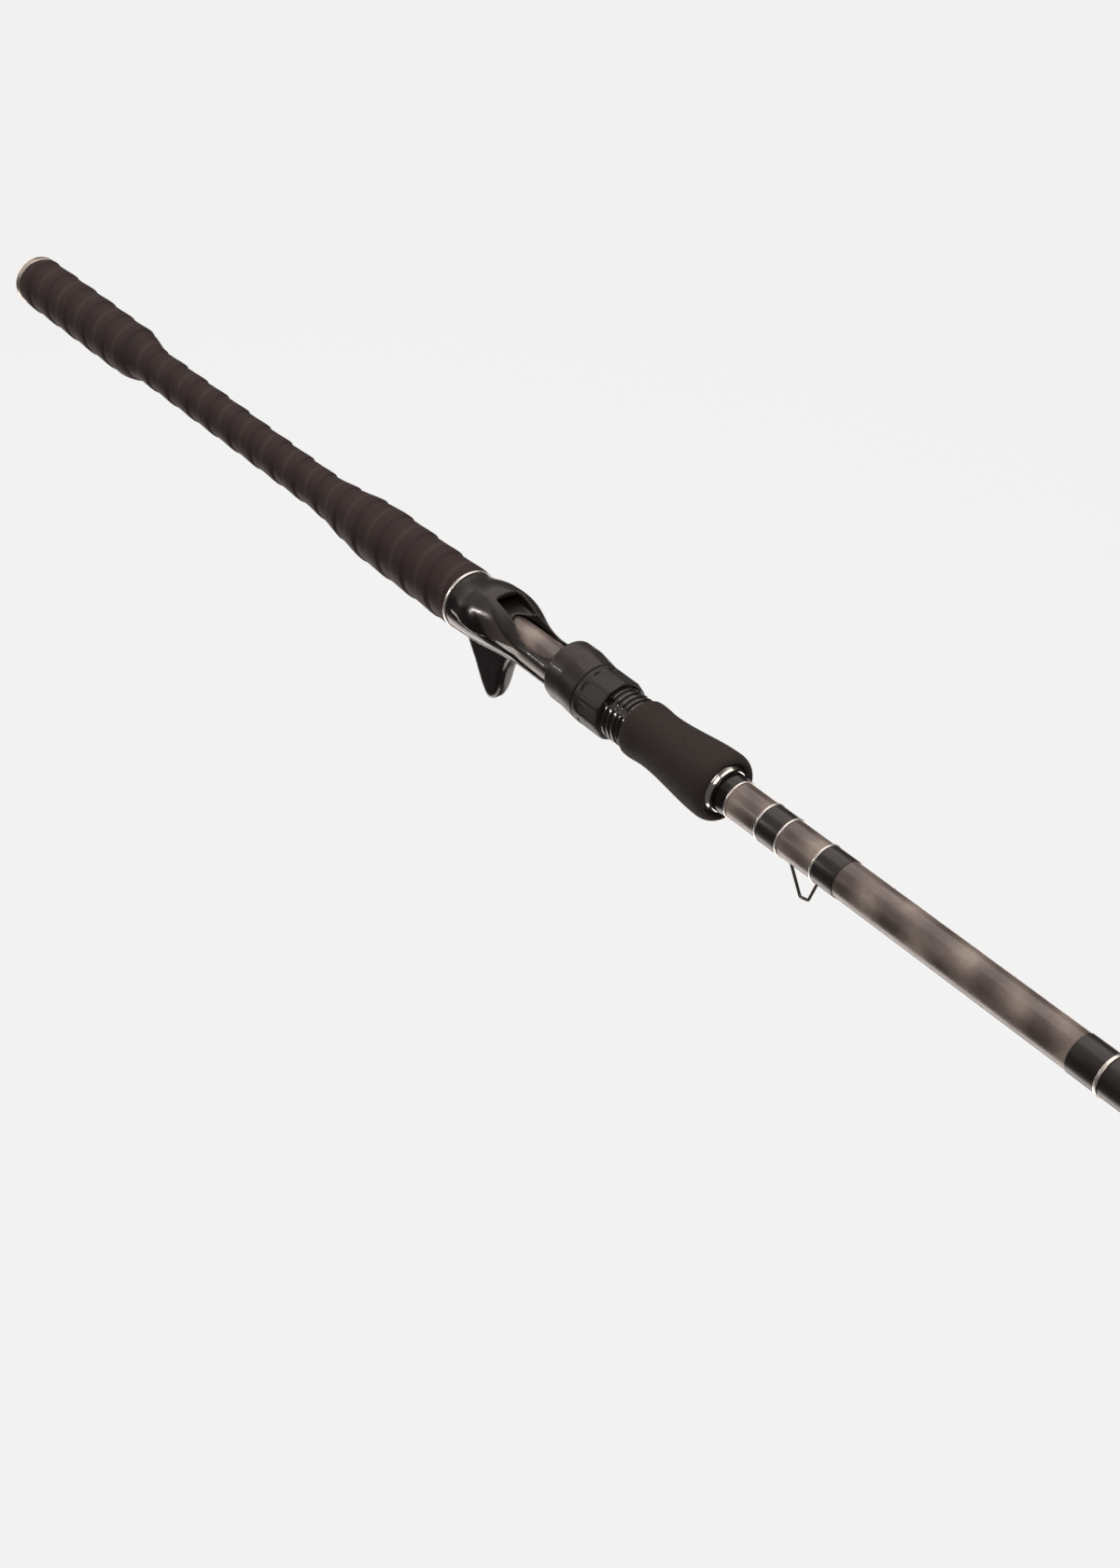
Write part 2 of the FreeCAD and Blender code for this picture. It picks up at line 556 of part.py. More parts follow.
def holder(x, z, bore):
    outer = bore + RING_T + FRAME_T
    band = Part.makeCylinder(outer, FRAME_W, V(x - FRAME_W / 2, 0, z), X_AXIS)
    band = band.makeFillet(FRAME_W / 2 - 0.1, band.Edges)
    return band, Part.makeCylinder(bore + RING_T, FRAME_W + 2, V(x - FRAME_W / 2 - 1, 0, z), X_AXIS)


def foot(start, end):
    """Foot that lies along the top of the blank."""
    plate = side_profile([(start, 0), (start, tip_r(start) + FOOT_T), (end, tip_r(end) + FOOT_T), (end, 0)],
                         min(FOOT_W, 1.5 * tip_r(start)))
    return plate.cut(turned(path([(start - 1, tip_r(start - 1)), (end + 1, tip_r(end + 1))]), 0))


def make_guide(number, x, bore, rise):
    """Line guide: a ring on two legs ahead of it and one behind, with a foot and a wrap at each end."""
    height = tip_r(x) + rise + bore
    band, hole = holder(x, height, bore)
    middle = bore + RING_T + FRAME_T / 2
    spread = 0.62 * middle
    step = 4.0 + 0.55 * rise
    ahead, behind = x + step, x - step
    legs = [stick(V(behind, 0, tip_r(behind) - LEG_R), V(x, 0, height - middle), LEG_R)]
    for sign in (-1, 1):
        top = V(x, sign * spread, height - math.sqrt(middle ** 2 - spread ** 2))
        legs.append(stick(V(ahead, sign * LEG_SPREAD, tip_r(ahead) - LEG_R), top, LEG_R))
    feet = [foot(ahead - 1.0, ahead + FOOT_L), foot(behind - FOOT_L, behind + 1.0)]
    blank = turned(path([(x - 40, tip_r(x - 40)), (x + 40, tip_r(x + 40))]), 0)
    frame = band.fuse(legs + feet).cut(hole).cut(blank)
    wraps = [tip_band(ahead + 1.5, ahead + FOOT_L + 2.5, FOOT_T + WRAP_T),
             tip_band(behind - FOOT_L - 2.5, behind - 1.5, FOOT_T + WRAP_T)]
    nodes["guide_%d_frame" % number] = frame
    nodes["guide_%d_ring" % number] = ceramic_ring(x, height, bore)
    nodes["guide_%d_wraps" % number] = Part.makeCompound([wrap.cut(frame) for wrap in wraps])


def make_tip_top():
    end = ROD_LENGTH + TIP_PROUD
    start = end - TIP_TUBE
    height = TIP_R + 2.2 + TIP_BORE
    place = end + 3.5
    band, hole = holder(place, height, TIP_BORE)
    legs = [stick(V(end - 4.5, 0, tip_r(start)), V(place, 0, height - TIP_BORE - RING_T - FRAME_T / 2), LEG_R)]
    for sign in (-1, 1):
        legs.append(stick(V(end - 1.0, sign * 0.8, 0.6), V(place, sign * 2.6, height - TIP_BORE), LEG_R))
    frame = tube(start, end, tip_r(start) + TIP_TUBE_WALL, 0).fuse([band] + legs).cut(hole)
    nodes["tip_top"] = frame.cut(turned(path([(start - 1, tip_r(start - 1)), (ROD_LENGTH, TIP_R)]), 0))
    nodes["tip_top_ring"] = ceramic_ring(place, height, TIP_BORE)


make_rear_grip()
make_seat()
make_hood()
make_nut()
make_fore_grip()
make_keeper()
make_trim()
make_blanks()
for index, (place, bore, rise) in enumerate(zip(GUIDE_PLACES, GUIDE_BORES, GUIDE_RISE)):
    make_guide(index + 1, place, bore, rise)
make_tip_top()

os.makedirs("parts", exist_ok=True)
for name, shape in nodes.items():
    shape.exportStep("parts/%s.step" % name)
    print("%-20s solids %d valid %s volume %.1f" % (name, len(shape.Solids), shape.isValid(), shape.Volume))
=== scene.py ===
# %% [markdown]
# # A casting rod, piece by piece
# The engineering model is loaded first and never moved. It says how big every piece is and where it sits, so each
# new piece takes its sizes from the box of the piece that it stands for.

# %% Load the rod
import json
import math
import bmesh
import bpy
from mathutils import Matrix, Vector, noise


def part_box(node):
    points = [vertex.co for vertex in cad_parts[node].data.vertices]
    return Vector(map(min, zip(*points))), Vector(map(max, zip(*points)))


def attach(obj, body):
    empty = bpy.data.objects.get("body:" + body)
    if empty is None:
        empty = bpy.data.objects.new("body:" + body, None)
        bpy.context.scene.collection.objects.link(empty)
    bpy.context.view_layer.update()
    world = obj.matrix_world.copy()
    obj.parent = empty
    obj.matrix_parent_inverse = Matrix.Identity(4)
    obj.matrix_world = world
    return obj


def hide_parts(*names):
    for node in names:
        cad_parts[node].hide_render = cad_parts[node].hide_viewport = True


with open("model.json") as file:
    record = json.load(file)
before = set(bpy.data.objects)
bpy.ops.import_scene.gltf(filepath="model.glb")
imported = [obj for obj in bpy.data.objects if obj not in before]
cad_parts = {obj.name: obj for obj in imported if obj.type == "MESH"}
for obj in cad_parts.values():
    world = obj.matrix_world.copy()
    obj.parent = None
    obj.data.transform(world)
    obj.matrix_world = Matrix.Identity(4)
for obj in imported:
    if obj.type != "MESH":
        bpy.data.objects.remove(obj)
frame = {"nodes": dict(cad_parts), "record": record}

nodes = frame["nodes"]
bodies = {node: body for body, names in frame["record"]["behaviour"]["bodies"].items() for node in names}
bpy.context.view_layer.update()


# %% [markdown]
# A shader is a graph, and a graph is slow to read. A small class lets the graph be written as sums: `1 - mask * 0.3`
# adds the Math nodes by itself. Everything else goes through one method, `node`, which takes the node's type, its
# settings and what its sockets are fed.

# %% Shader sums
class Wire:
    """An output socket that can be added, subtracted, multiplied and divided."""

    def __init__(self, finish, socket):
        self.finish, self.socket = finish, socket

    def sum(self, operation, first, second):
        return self.finish.node("Math", {"operation": operation}, {0: first, 1: second})

    def __add__(self, other):
        return self.sum("ADD", self, other)

    def __sub__(self, other):
        return self.sum("SUBTRACT", self, other)

    def __rsub__(self, other):
        return self.sum("SUBTRACT", other, self)

    def __mul__(self, other):
        return self.sum("MULTIPLY", self, other)

    def __truediv__(self, other):
        return self.sum("DIVIDE", self, other)

    __radd__, __rmul__ = __add__, __mul__


class Finish:
    """A material on one Principled shader. Constants are set on its own sockets."""

    def __init__(self, name, colour, roughness, **constants):
        self.material = bpy.data.materials.new(name)
        self.material.use_nodes = True
        self.tree = self.material.node_tree
        self.shader = self.tree.nodes["Principled BSDF"]
        self.shader.inputs["Base Color"].default_value = (*colour, 1)
        self.shader.inputs["Roughness"].default_value = roughness
        for socket, value in constants.items():
            self.shader.inputs[socket.replace("_", " ")].default_value = value
        self.place = self.node("TexCoord", out="Object")

    def node(self, kind, settings=None, sockets=None, out=0):
        made = self.tree.nodes.new("ShaderNode" + kind)
        for key, value in (settings or {}).items():
            if key == "stops":
                fill_ramp(made.color_ramp, value)
            else:
                setattr(made, key, value)
        for key, value in (sockets or {}).items():
            if isinstance(value, Wire):
                self.tree.links.new(value.socket, made.inputs[key])
            else:
                made.inputs[key].default_value = value
        return Wire(self, made.outputs[out])

    def feed(self, socket, wire):
        self.tree.links.new(wire.socket, self.shader.inputs[socket])

    def grain(self, size, detail=4.0, roughness=0.55, stretch=(1, 1, 1)):
        """Noise whose blotches are about `size` metres wide."""
        where = self.node("Mapping", sockets={"Vector": self.place, "Scale": stretch})
        return self.node("TexNoise", sockets={"Vector": where, "Scale": 1 / size, "Detail": detail,
                                              "Roughness": roughness})

    def ramp(self, wire, *stops):
        return self.node("ValToRGB", {"stops": stops}, {0: wire}, out="Color")

    def blend(self, factor, first, second):
        """Colour mix of two colours, as tuples or wires."""
        pick = lambda c: c if isinstance(c, Wire) else (*c, 1)
        return self.node("Mix", {"data_type": "RGBA"}, {0: factor, 6: pick(first), 7: pick(second)}, out=2)

    def relief(self, height, depth, strength=1.0):
        """Surface relief `depth` metres deep where height goes from 0 to 1."""
        self.feed("Normal", self.node("Bump", sockets={"Height": height, "Distance": depth, "Strength": strength}))


def fill_ramp(ramp, stops):
    while len(ramp.elements) < len(stops):
        ramp.elements.new(0.5)
    for element, (place, colour) in zip(ramp.elements, stops):
        element.position = place
        element.color = (*colour, 1) if isinstance(colour, tuple) else (colour, colour, colour, 1)


# %% [markdown]
# ## Finishes
# The grip is foam under a tape that winds round it. Each turn of tape overlaps the last, so the edge of the tape
# makes a spiral lip. The mesh and the finish both need to know where on the tape a point lies, so the pitch is set
# once here. Along the lip a paler colour is painted in as the highlight that the lip catches.

# %% Where on the spiral
MM = 0.001
TAPE_PITCH = 18.6 * MM


def winding(f, pitch):
    """From 0 to 1 along the rod within each turn of a spiral that winds round the X axis."""
    split = f.node("SeparateXYZ", sockets={0: f.place}).socket.node.outputs
    x, y, z = (Wire(f, socket) for socket in split)
    around = f.node("Math", {"operation": "ARCTAN2"}, {0: z, 1: y})
    return f.node("Math", {"operation": "FRACT"}, {0: x / pitch - around / (2 * math.pi) + 100.0})


def wave(f, pitch, turns=1.0):
    """From 0 to 1 and back once per pitch along a spiral of so many turns."""
    split = f.node("SeparateXYZ", sockets={0: f.place}).socket.node.outputs
    x, y, z = (Wire(f, socket) for socket in split)
    around = f.node("Math", {"operation": "ARCTAN2"}, {0: z, 1: y})
    phase = x * (2 * math.pi / pitch) - around * turns
    return f.node("Math", {"operation": "SINE"}, {0: phase}) * 0.5 + 0.5


# %% [markdown]
# Closed-cell foam is matt and slightly porous: tiny pits scatter the light, and handling polishes it unevenly.

# %% Foam and tape
def foam_finish():
    f = Finish("grip_foam", (0.030, 0.024, 0.022), 0.85, Specular_IOR_Level=0.28)
    pores = f.grain(0.55 * MM, 3, 0.7)
    handled = f.grain(24 * MM, 3)
    speck = f.ramp(pores, (0.30, 0.0), (0.62, 1.0))
    f.feed("Base Color", f.blend(handled, (0.031, 0.0245, 0.0220), (0.047, 0.0375, 0.0340)))
    f.feed("Roughness", 0.74 + handled * 0.18)
    f.relief(speck, 0.12 * MM, 0.6)
    return f.material


def tape_finish():
    f = Finish("grip_tape", (0.030, 0.021, 0.020), 0.7, Specular_IOR_Level=0.3)
    grit = f.grain(0.4 * MM, 3, 0.6)
    wear_and_sheen = f.grain(14 * MM, 4)
    # Painted highlight: a paler colour along the tape's lip, where the light catches it, stronger in random patches.
    lip_highlight = f.ramp(winding(f, TAPE_PITCH), (0.0, 0.35), (0.05, 0.0), (0.80, 0.0), (0.93, 0.8), (0.96, 1.0), (1.0, 0.5))
    body = f.blend(wear_and_sheen, (0.034, 0.0205, 0.0195), (0.047, 0.0300, 0.0285))
    f.feed("Base Color", f.blend(lip_highlight * (0.25 + wear_and_sheen * 0.5), body, (0.085, 0.062, 0.058)))
    f.feed("Roughness", 0.60 + wear_and_sheen * 0.2)
    f.relief(grit, 0.09 * MM, 0.5)
    return f.material


# %% [markdown]
# The seat is moulded nylon under lacquer. It is nearly black, so what the eye reads is the reflection: a very faint
# orange peel, and a little handling that dulls it in patches. Two attributes that the seat's mesh carries change it
# from place to place. One is 1 on the side and the trigger, where the lacquer is glossier than on the top and a darker
# colour is painted in as shade. The other is 1 on the strip under the crease, where a pale colour is painted in as the
# reflection of the bright ground. A mesh without them has the plain finish all over.

# %% Moulded and metal finishes
# Painted shade: the darker colour that the side and the trigger get.
PAINTED_SHADE_COLOUR = (0.0065, 0.0052, 0.0047)
# Painted reflection: the pale colour of the strip under the crease, standing for the bright ground that it mirrors.
STRIP_REFLECTION_COLOUR = (0.135, 0.110, 0.100)


def seat_finish(name="seat_gloss", colour=(0.016, 0.012, 0.0105), roughness=0.36, coat=0.12):
    f = Finish(name, colour, roughness, Specular_IOR_Level=0.5, Coat_Weight=coat, Coat_Roughness=0.07)
    handled = f.grain(9 * MM, 4)
    peel = f.grain(1.8 * MM, 2)
    strip = f.node("Attribute", {"attribute_name": "strip"}, out="Fac")
    polish = f.node("Attribute", {"attribute_name": "polish"}, out="Fac")
    skin = f.blend(handled, tuple(c * 0.75 for c in colour), tuple(c * 1.25 for c in colour))
    # The side and the trigger are glossier and get a darker colour painted in as shade.
    skin = f.blend(polish, skin, PAINTED_SHADE_COLOUR)
    # The strip under the crease gets a pale colour painted in as reflection.
    f.feed("Base Color", f.blend(strip, skin, STRIP_REFLECTION_COLOUR))
    f.feed("Roughness", (roughness - 0.06 + handled * 0.14) * (1 - polish * (1 - strip) * 0.5))
    f.relief(peel, 0.02 * MM, 0.5)
    return f.material


def metal_finish(name, colour, roughness, line_size, depth):
    """Turned or brushed metal: fine rings round the rod's axis."""
    f = Finish(name, colour, roughness, Metallic=1.0)
    rings = f.grain(line_size, 2, 0.6, (1, 0.04, 0.04))
    tarnish = f.grain(6 * MM, 3)
    f.feed("Base Color", f.blend(tarnish, tuple(c * 0.82 for c in colour), colour))
    f.feed("Roughness", roughness * 0.8 + tarnish * (roughness * 0.5))
    f.relief(rings, depth, 0.5)
    return f.material


def plain_finish(name, colour, roughness, patch_size=4 * MM):
    """Moulded or painted: one colour that varies a little."""
    f = Finish(name, colour, roughness)
    patch = f.grain(patch_size, 4)
    f.feed("Base Color", f.blend(patch, tuple(c * 0.75 for c in colour), tuple(c * 1.25 for c in colour)))
    f.feed("Roughness", roughness - 0.06 + patch * 0.12)
    f.relief(f.grain(0.7 * MM, 2), 0.02 * MM, 0.4)
    return f.material


# %% [markdown]
# The blank is carbon cloth rolled on a mandrel. The tape that pressed it in the oven leaves faint diagonal bands
# under the lacquer, and the fibres give it soft paler patches. Thread wraps are hundreds of turns of nylon under a
# thick clear coat: ribbed below, glassy on top.

# %% Blank and thread finishes
def blank_finish():
    f = Finish("carbon_blank", (0.10, 0.080, 0.073), 0.3, Coat_Weight=0.35, Coat_Roughness=0.14)
    bands = wave(f, 26 * MM)
    cross = wave(f, 37 * MM, -2)
    cloud = f.grain(10 * MM, 4, 0.55, (0.7, 1, 1))
    fibre = f.grain(1.0 * MM, 3, 0.6, (0.25, 1, 1))
    smoke = f.ramp(cloud * 0.55 + bands * 0.27 + cross * 0.18, (0.34, (0.105, 0.080, 0.073)),
                   (0.46, (0.175, 0.136, 0.123)), (0.56, (0.230, 0.182, 0.162)), (0.70, (0.380, 0.315, 0.270)))
    f.feed("Base Color", f.blend(fibre * 0.35, smoke, (0.100, 0.078, 0.071)))
    f.feed("Roughness", 0.27 + bands * 0.12 + fibre * 0.10)
    f.relief(fibre * 0.4 + bands * 0.6, 0.03 * MM, 0.5)
    return f.material


def thread_finish():
    f = Finish("thread_wrap", (0.016, 0.013, 0.0125), 0.30, Coat_Weight=0.12, Coat_Roughness=0.08)
    turns = wave(f, 0.45 * MM)
    flow = f.grain(7 * MM, 2)
    f.feed("Base Color", f.blend(turns, (0.012, 0.0095, 0.009), (0.026, 0.021, 0.0195)))
    f.feed("Roughness", 0.26 + flow * 0.14)
    f.relief(turns * 0.3 + flow * 0.7, 0.03 * MM, 0.35)
    return f.material


# %% [markdown]
# Each CAD piece and each new piece names the record's slot that it takes its finish from.

# %% One finish per slot
finishes = {
    "cap_metal": metal_finish("cap_champagne", (0.80, 0.71, 0.64), 0.30, 0.5 * MM, 0.01 * MM),
    "black_rubber": plain_finish("seal_rubber", (0.012, 0.011, 0.010), 0.6),
    "foam": foam_finish(),
    "grip_wrap": tape_finish(),
    "silver_trim": metal_finish("silver_winding", (0.96, 0.92, 0.88), 0.36, 0.3 * MM, 0.02 * MM),
    "seat_plastic": seat_finish(),
    "liner_plastic": plain_finish("hood_liner", (0.012, 0.011, 0.010), 0.5),
    "arbor_foam": plain_finish("seat_arbor", (0.20, 0.17, 0.14), 0.8),
    "bright_metal": metal_finish("check_chrome", (0.92, 0.89, 0.85), 0.14, 0.4 * MM, 0.006 * MM),
    "black_metal": plain_finish("check_black", (0.010, 0.008, 0.007), 0.2),
    "blank_carbon": blank_finish(),
    "thread_wrap": thread_finish(),
    "wire": metal_finish("keeper_wire", (0.16, 0.14, 0.13), 0.3, 0.3 * MM, 0.004 * MM),
    "guide_metal": metal_finish("guide_steel", (0.30, 0.29, 0.28), 0.24, 0.3 * MM, 0.004 * MM),
    "guide_ceramic": plain_finish("guide_ceramic", (0.035, 0.034, 0.036), 0.14),
}
slot_of = {row["node"]: row["material_slot"] for row in frame["record"]["subparts"]}
for name, piece in nodes.items():
    piece.data.materials.clear()
    piece.data.materials.append(finishes[slot_of[name]])
print(len(finishes), "finishes")


# %% [markdown]
# ## Turned pieces
# Grips, rings and wraps are all turned about the rod's axis. `spin` sweeps a closed outline round it. Corners are
# given as plain corners and rounded by `soften`, because no real edge is perfectly sharp and a rounded edge is what
# catches the light.

# %% Turning helpers
def soften(corners, radii, steps=4):
    """Closed outline whose corners are rounded, each by its own radius. All in millimetres."""
    points = [Vector(c) for c in corners]
    outline = []
    for i, (corner, r) in enumerate(zip(points, radii)):
        before, after = points[i - 1] - corner, points[(i + 1) % len(points)] - corner
        start = corner + before.normalized() * min(r, before.length * 0.49)
        end = corner + after.normalized() * min(r, after.length * 0.49)
        for k in range(steps + 1 if r else 1):
            t = k / steps
            outline.append(start * (1 - t) ** 2 + corner * 2 * t * (1 - t) + end * t ** 2)
    return outline


def finish_mesh(bm, name, body, slot, sharp=35):
    """Merges, orients and smooths a mesh, then makes it a piece of the rod."""
    bmesh.ops.remove_doubles(bm, verts=bm.verts, dist=1e-6)
    bmesh.ops.dissolve_degenerate(bm, edges=bm.edges, dist=1e-6)
    bmesh.ops.recalc_face_normals(bm, faces=bm.faces)
    mesh = bpy.data.meshes.new(name)
    bm.to_mesh(mesh)
    bm.free()
    mesh.shade_smooth()
    mesh.set_sharp_from_angle(angle=math.radians(sharp))
    piece = bpy.data.objects.new(name, mesh)
    bpy.context.scene.collection.objects.link(piece)
    mesh.materials.append(finishes[slot])
    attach(piece, body)
    print(name, sum(len(p.vertices) - 2 for p in mesh.polygons), "triangles")
    return piece


def spun(outline, steps=96):
    """The outline, (x, radius) points in millimetres, swept all round the rod's axis."""
    bm = bmesh.new()
    corners = [bm.verts.new((x * MM, 0, r * MM)) for x, r in outline]
    rim = [bm.edges.new(pair) for pair in zip(corners, corners[1:] + corners[:1])]
    bmesh.ops.spin(bm, geom=corners + rim, cent=(0, 0, 0), axis=(1, 0, 0), angle=2 * math.pi, steps=steps,
                   use_merge=True)
    bmesh.ops.remove_doubles(bm, verts=bm.verts, dist=1e-6)
    return bm


def stand_for(bm, name, *replaced, sharp=35, finish=None):
    """Makes the mesh a piece that stands for the CAD nodes, on their body and in their slot."""
    piece = finish_mesh(bm, name, bodies[replaced[0]], slot_of[replaced[0]], sharp)
    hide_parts(*replaced)
    if finish:
        piece.data.materials[0] = finish
    return piece


def span(node):
    """Start and end along the rod, and outer radius, of a CAD node, in millimetres."""
    low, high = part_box(node)
    return low.x / MM, high.x / MM, high.y / MM


def rise(x, start, end, low, high):
    """Smooth climb from low to high between start and end."""
    t = min(1.0, max(0.0, (x - start) / (end - start)))
    return low + (high - low) * t * t * (3 - 2 * t)


# %% [markdown]
# ## Butt cap, seal and winding ring
# The cap is spun aluminium with a rounded rim, the seal is a rubber gasket that shows as a dark line, and the
# winding ring is a thin bright band that hides the end of the tape.

# %% Butt end and ring
start, end, radius = span("butt_cap")
blank_r = span("handle_blank")[2]
round_start = 4.5
dome = [(start + round_start * (1 - math.cos(a)), radius - round_start + round_start * math.sin(a))
        for a in (math.pi / 2 * k / 14 for k in range(15))]
cap = [(start, 0), (start, 5.6), (start + 0.35, 6.0), (start + 0.35, 6.5), (start, 6.9)] + dome
cap += [(end - 0.45, radius), (end - 0.1, radius - 0.25), (end, radius - 0.6), (end, blank_r), (3.0, blank_r), (3.0, 0)]
stand_for(spun(cap, 128), "butt_cap_spun", "butt_cap")

start, end, radius = span("butt_cap_seal")
seal = soften([(start, radius), (end, radius), (end, blank_r), (start, blank_r)], [0.3, 0.3, 0, 0])
stand_for(spun(seal), "butt_cap_gasket", "butt_cap_seal")

start, end, radius = span("rear_winding_ring")
ring = soften([(start, radius - 0.15), (start + 0.3, radius), (end - 0.3, radius), (end, radius - 0.15),
               (end, blank_r), (start, blank_r)], [0.1, 0.25, 0.25, 0.1, 0, 0])
stand_for(spun(ring, 128), "winding_ring_spun", "rear_winding_ring")


# %% [markdown]
# ## The taped grip
# A grid of rings and straight lines can't carry a spiral lip cleanly: the lip would cross the faces at a slant and
# look like a staircase. So the sweep itself is a spiral. `spin` takes a shift per step, and a shift of one pitch per
# full turn lands each row on the next turn's row, where the seam merges. The lip is then a row of the mesh. The skin
# is a height over the axis at every angle, so each face can be turned outwards by itself before it gets its wall.

# %% Spiral sweep
GRIP_START, GRIP_END, _ = span("rear_grip_wrap")
TAPE_ROWS = (0.0, 0.012, 0.03, 0.06, 0.12, 0.2, 0.3, 0.4, 0.5, 0.6, 0.7, 0.8, 0.88, 0.93, 0.955, 0.975)


def spiral_tube(start, end, pitch, rows, around, radius_at, wall):
    """Tube whose rows wind round the rod. radius_at takes x, the angle and the place within a turn, 0 to 1."""
    bm = bmesh.new()
    turns = math.ceil((end - start) / pitch) + 3
    chain = [bm.verts.new(((start + pitch * (k - 2 + row)) * MM, MM, 0)) for k in range(turns) for row in rows]
    links = [bm.edges.new(pair) for pair in zip(chain, chain[1:])]
    bmesh.ops.spin(bm, geom=chain + links, cent=(0, 0, 0), axis=(1, 0, 0), dvec=(pitch * MM / around, 0, 0),
                   angle=2 * math.pi, steps=around, use_merge=False)
    bmesh.ops.remove_doubles(bm, verts=bm.verts, dist=2e-6)
    for edge_x, side in ((start, -1), (end, 1)):
        bmesh.ops.bisect_plane(bm, geom=bm.verts[:] + bm.edges[:] + bm.faces[:], dist=1e-7,
                               plane_co=(edge_x * MM, 0, 0), plane_no=(side, 0, 0), clear_outer=True)
    for v in bm.verts:
        angle = math.atan2(v.co.z, v.co.y)
        place = (v.co.x / MM - start) / pitch - angle / (2 * math.pi) + 100
        r = radius_at(v.co.x / MM, angle, (place + 1e-6) % 1.0) * MM
        v.co = (v.co.x, r * math.cos(angle), r * math.sin(angle))
    bm.normal_update()
    inward = [f for f in bm.faces if f.normal.yz.dot(f.calc_center_median().yz) < 0]
    bmesh.ops.reverse_faces(bm, faces=inward)
    bmesh.ops.solidify(bm, geom=bm.faces[:], thickness=wall * MM)
    return bm


# %% Wind the tape
def grip_radius(x):
    """Radius under the tape: a swell, a slim neck and a shoulder."""
    if x < 200:
        return rise(x, 101.5, 120.0, 12.95, 9.4)
    return rise(x, 267.0, 322.0, 9.4, 14.15)


def tape_height(place):
    """Height of the tape's surface over its mean, from one lip (0) to the next (1)."""
    if place < 0.2:
        return rise(place, 0.0, 0.2, -0.50, -0.12)
    if place < 0.93:
        return rise(place, 0.2, 0.93, -0.12, 0.40)
    return rise(place, 0.93, 1.0, 0.40, -0.50)


def taped(x, angle, place):
    waver = 0.12 * noise.noise((x / 30, math.cos(angle), math.sin(angle)))
    tuck = rise(x, GRIP_START, GRIP_START + 2.5, -0.35, 0) + rise(x, GRIP_END - 2.5, GRIP_END, 0, -0.25)
    return grip_radius(x) + tape_height(place) + waver + tuck


tape = spiral_tube(GRIP_START, GRIP_END, TAPE_PITCH / MM, TAPE_ROWS, 96, taped, 0.5)
stand_for(tape, "grip_tape_wound", "rear_grip_wrap", sharp=60)


# %% [markdown]
# ## Reel seat
# The seat is one moulding with blended corners: hood, saddle, oval window and trigger. Its CAD solid has the right
# shape but knife-sharp edges. A voxel remesh of a merged copy and a little smoothing round them all, as the mould
# does. The copy stops short of the thread, which such a remesh would blur.

# %% Softened copies
def merged_copy(node):
    bm = bmesh.new()
    bm.from_mesh(nodes[node].data)
    bmesh.ops.remove_doubles(bm, verts=bm.verts, dist=2e-6)
    return bm


def remeshed(bm, voxel):
    """The same solid on an even grid of faces about a voxel wide, in millimetres."""
    mesh = bpy.data.meshes.new("remesh_source")
    bm.to_mesh(mesh)
    source = bpy.data.objects.new("remesh_source", mesh)
    bpy.context.scene.collection.objects.link(source)
    grid = source.modifiers.new("grid", "REMESH")
    grid.mode, grid.voxel_size, grid.adaptivity = "VOXEL", voxel * MM, 0
    even = bpy.data.meshes.new_from_object(source.evaluated_get(bpy.context.evaluated_depsgraph_get()))
    bpy.data.objects.remove(source)
    bpy.data.meshes.remove(mesh)
    bm.clear()
    bm.from_mesh(even)
    bpy.data.meshes.remove(even)
    return bm


def relax(bm, rounds):
    for _ in range(rounds):
        bmesh.ops.smooth_vert(bm, verts=bm.verts, factor=0.5, use_axis_x=True, use_axis_y=True, use_axis_z=True)


def sawn(bm, x, keep):
    """Cuts the solid across the rod at x and closes it. Keep is -1 for the butt side and 1 for the tip side."""
    bmesh.ops.bisect_plane(bm, geom=bm.verts[:] + bm.edges[:] + bm.faces[:], dist=1e-7,
                           plane_co=(x * MM, 0, 0), plane_no=(-keep, 0, 0), clear_outer=True)
    rim = [e for e in bm.edges if e.is_boundary and all(abs(v.co.x - x * MM) < 1e-6 for v in e.verts)]
    bmesh.ops.triangle_fill(bm, use_beauty=True, edges=rim)


# %% [markdown]
# A crease sweeps from the crown down to the side. Along it the skin stands up to a low edge. Under that edge lies a
# flat strip that leans in, so it faces the ground, and the skin then steps back out. All three are cut into the mesh
# by moving its points towards or away from the axis.

# %% Crease
SEAT_START, SEAT_END, _ = span("reel_seat")
SEAT_SPLIT = 461.0
EDGE_UP, STRIP_IN = 0.8, 0.9
CREASE = ((12, 22), (16, 25), (20.8, 29), (26.2, 39), (31, 50), (35, 57), (38.8, 65), (47, 75), (67, 80), (80, 82))


def crease_angle(x):
    """Angle of the crease down from the top of the seat, in degrees, at x behind the seat's rear face."""
    for (x0, a0), (x1, a1) in zip(CREASE, CREASE[1:]):
        if x <= x1:
            return a0 + (a1 - a0) * max(0.0, x - x0) / (x1 - x0)
    return CREASE[-1][1]


def strip_width(x):
    return rise(x, 28, 44, 10.0, 6.4)


def strip_step(below, x):
    """Height of the skin at a place so many millimetres below the crease: raised edge, strip, step back."""
    width = strip_width(x)
    if below < 0:
        return rise(below, -6.0, 0.0, 0.0, EDGE_UP)
    if below < width:
        return EDGE_UP - (EDGE_UP + STRIP_IN) * below / width
    return rise(below, width, width + rise(x, 26, 42, 7.0, 1.2), -STRIP_IN, 0.0)


